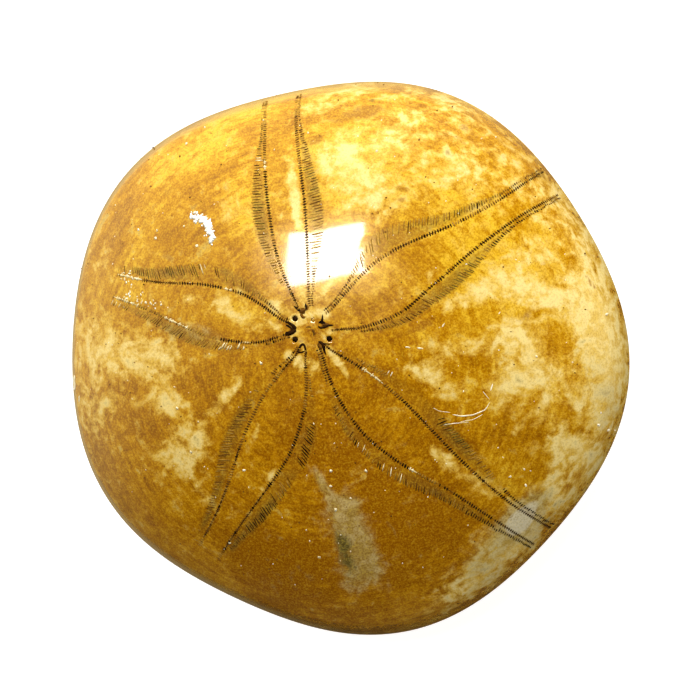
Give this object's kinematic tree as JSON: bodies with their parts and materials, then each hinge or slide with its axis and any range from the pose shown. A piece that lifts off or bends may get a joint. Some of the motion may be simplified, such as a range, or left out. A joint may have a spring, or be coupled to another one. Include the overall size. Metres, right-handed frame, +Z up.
{
  "type": "fossil sand dollar",
  "caption": "Polished fossil sand dollar: a low domed, faintly five-sided stone shell with a petal pattern on top and a flat rim to rest on underneath.",
  "frame": {"origin": "middle of the outline's box, on the surface that the fossil rests on", "axes": "+Z up through the dome, +Y towards the animal's front, +X towards its right-hand side"},
  "size_m": [0.0796, 0.0778, 0.028],
  "materials": {
    "polished_stone": "polished amber calcite with cream and grey clouding and dark brown pore rows"
  },
  "bodies": {
    "root": {"fossil_sand_dollar": "polished_stone"}
  },
  "joints": []
}
